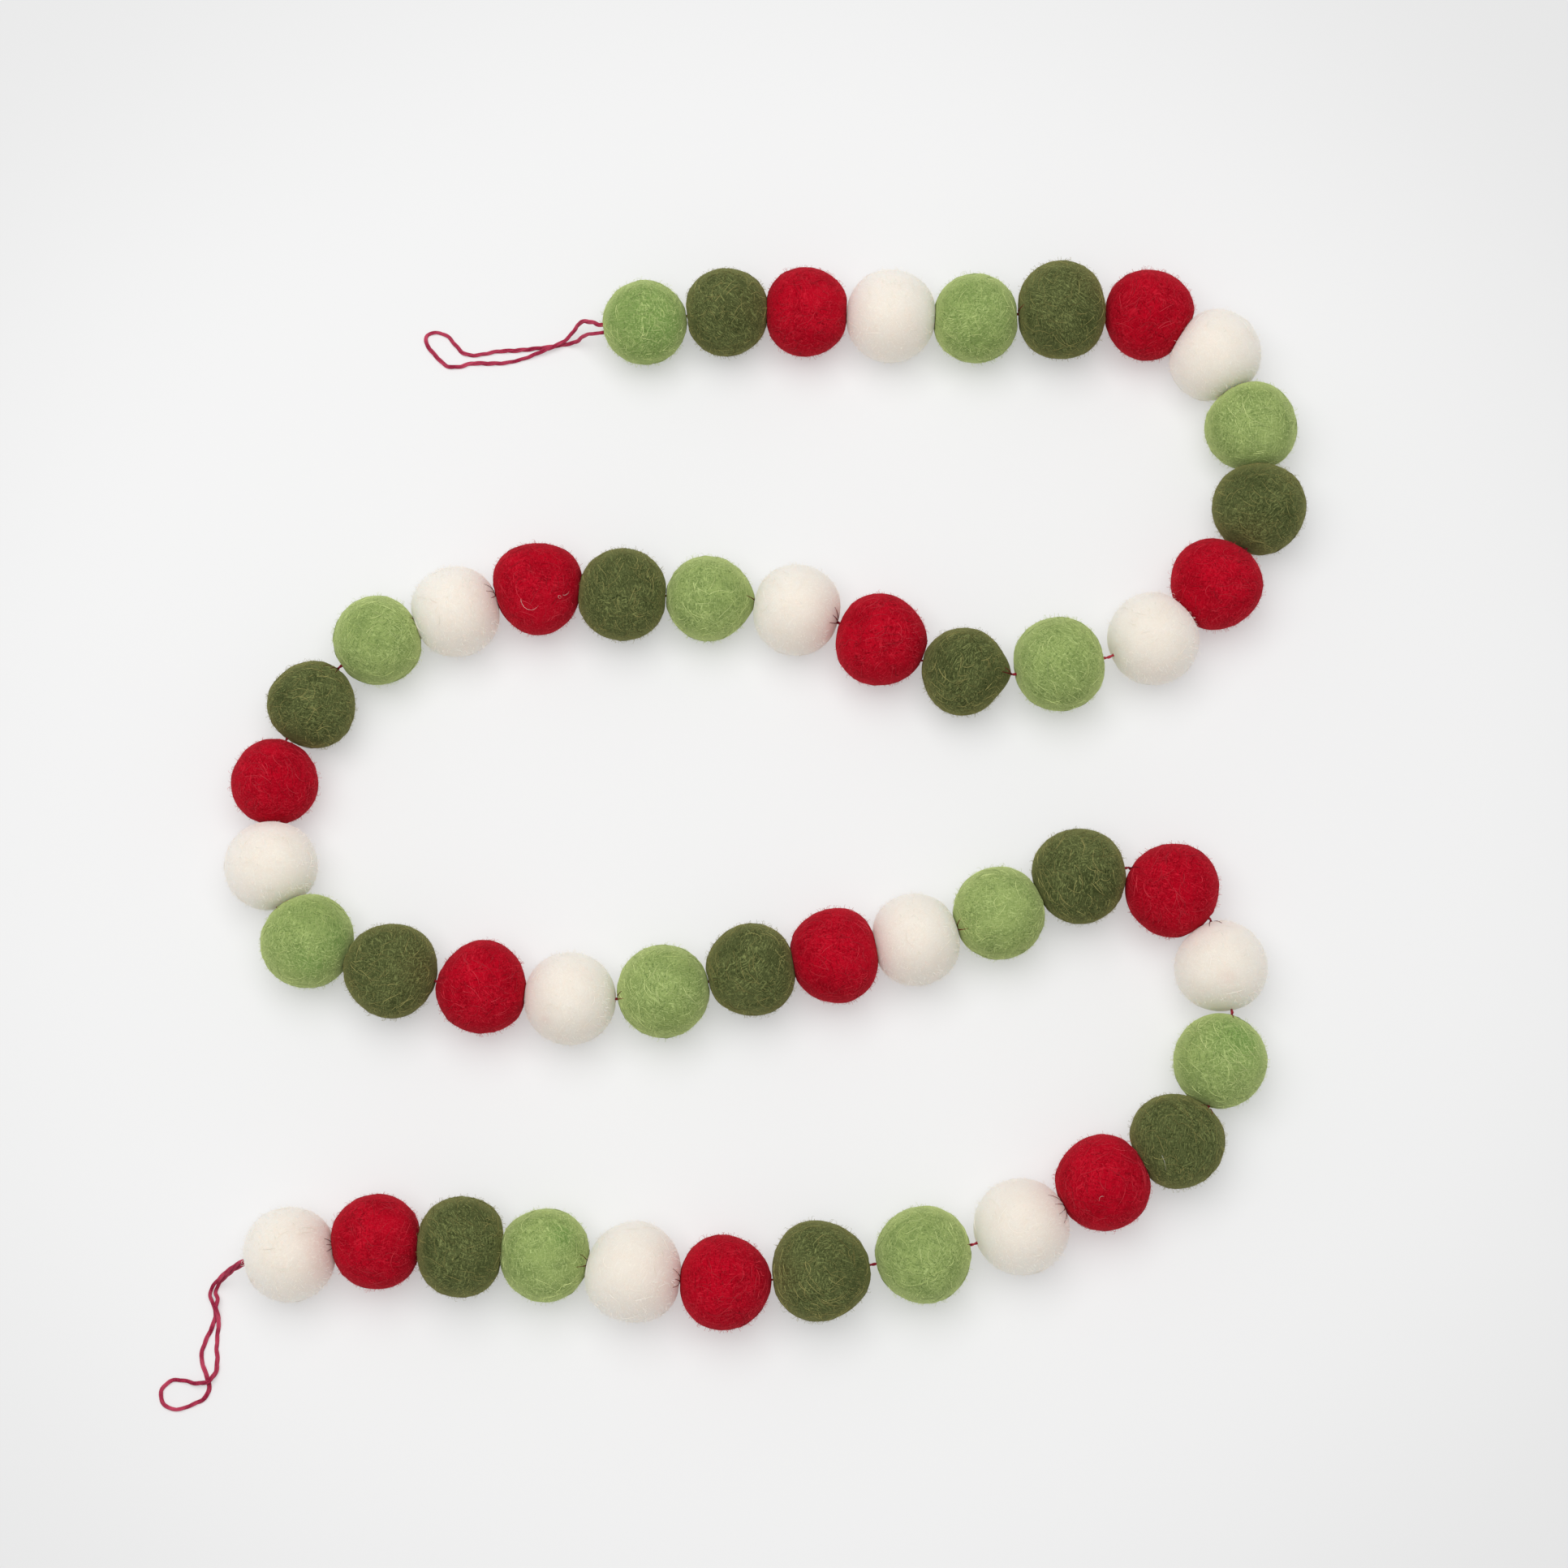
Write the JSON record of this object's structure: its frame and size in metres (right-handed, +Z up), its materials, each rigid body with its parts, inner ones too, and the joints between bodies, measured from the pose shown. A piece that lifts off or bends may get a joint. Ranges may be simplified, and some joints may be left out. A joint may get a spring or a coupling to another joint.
{
  "type": "felt ball garland",
  "caption": "Garland of wool felt balls strung close together on a thread, with a hanging loop at either end, lying in winding rows.",
  "frame": {"origin": "on the table, under the middle of the box around the balls, without the two hanging loops", "axes": "+Z up from the table, +X to the right along the rows, +Y from the last row towards the first"},
  "size_m": [0.3213, 0.3279, 0.0279],
  "materials": {
    "felt_light_green": "matt wool felt",
    "felt_dark_green": "matt wool felt",
    "felt_red": "matt wool felt",
    "felt_cream": "matt wool felt",
    "thread_crimson": "stranded cotton"
  },
  "bodies": {
    "root": {"ball_01": "felt_light_green", "ball_02": "felt_dark_green", "ball_03": "felt_red", "ball_04": "felt_cream", "ball_05": "felt_light_green", "ball_06": "felt_dark_green", "ball_07": "felt_red", "ball_08": "felt_cream", "ball_09": "felt_light_green", "ball_10": "felt_dark_green", "ball_11": "felt_red", "ball_12": "felt_cream", "ball_13": "felt_light_green", "ball_14": "felt_dark_green", "ball_15": "felt_red", "ball_16": "felt_cream", "ball_17": "felt_light_green", "ball_18": "felt_dark_green", "ball_19": "felt_red", "ball_20": "felt_cream", "ball_21": "felt_light_green", "ball_22": "felt_dark_green", "ball_23": "felt_red", "ball_24": "felt_cream", "ball_25": "felt_light_green", "ball_26": "felt_dark_green", "ball_27": "felt_red", "ball_28": "felt_cream", "ball_29": "felt_light_green", "ball_30": "felt_dark_green", "ball_31": "felt_red", "ball_32": "felt_cream", "ball_33": "felt_light_green", "ball_34": "felt_dark_green", "ball_35": "felt_red", "ball_36": "felt_cream", "ball_37": "felt_light_green", "ball_38": "felt_dark_green", "ball_39": "felt_red", "ball_40": "felt_cream", "ball_41": "felt_light_green", "ball_42": "felt_dark_green", "ball_43": "felt_red", "ball_44": "felt_cream", "ball_45": "felt_light_green", "ball_46": "felt_dark_green", "ball_47": "felt_red", "ball_48": "felt_cream", "thread": "thread_crimson", "loop_start": "thread_crimson", "loop_end": "thread_crimson"}
  },
  "joints": []
}
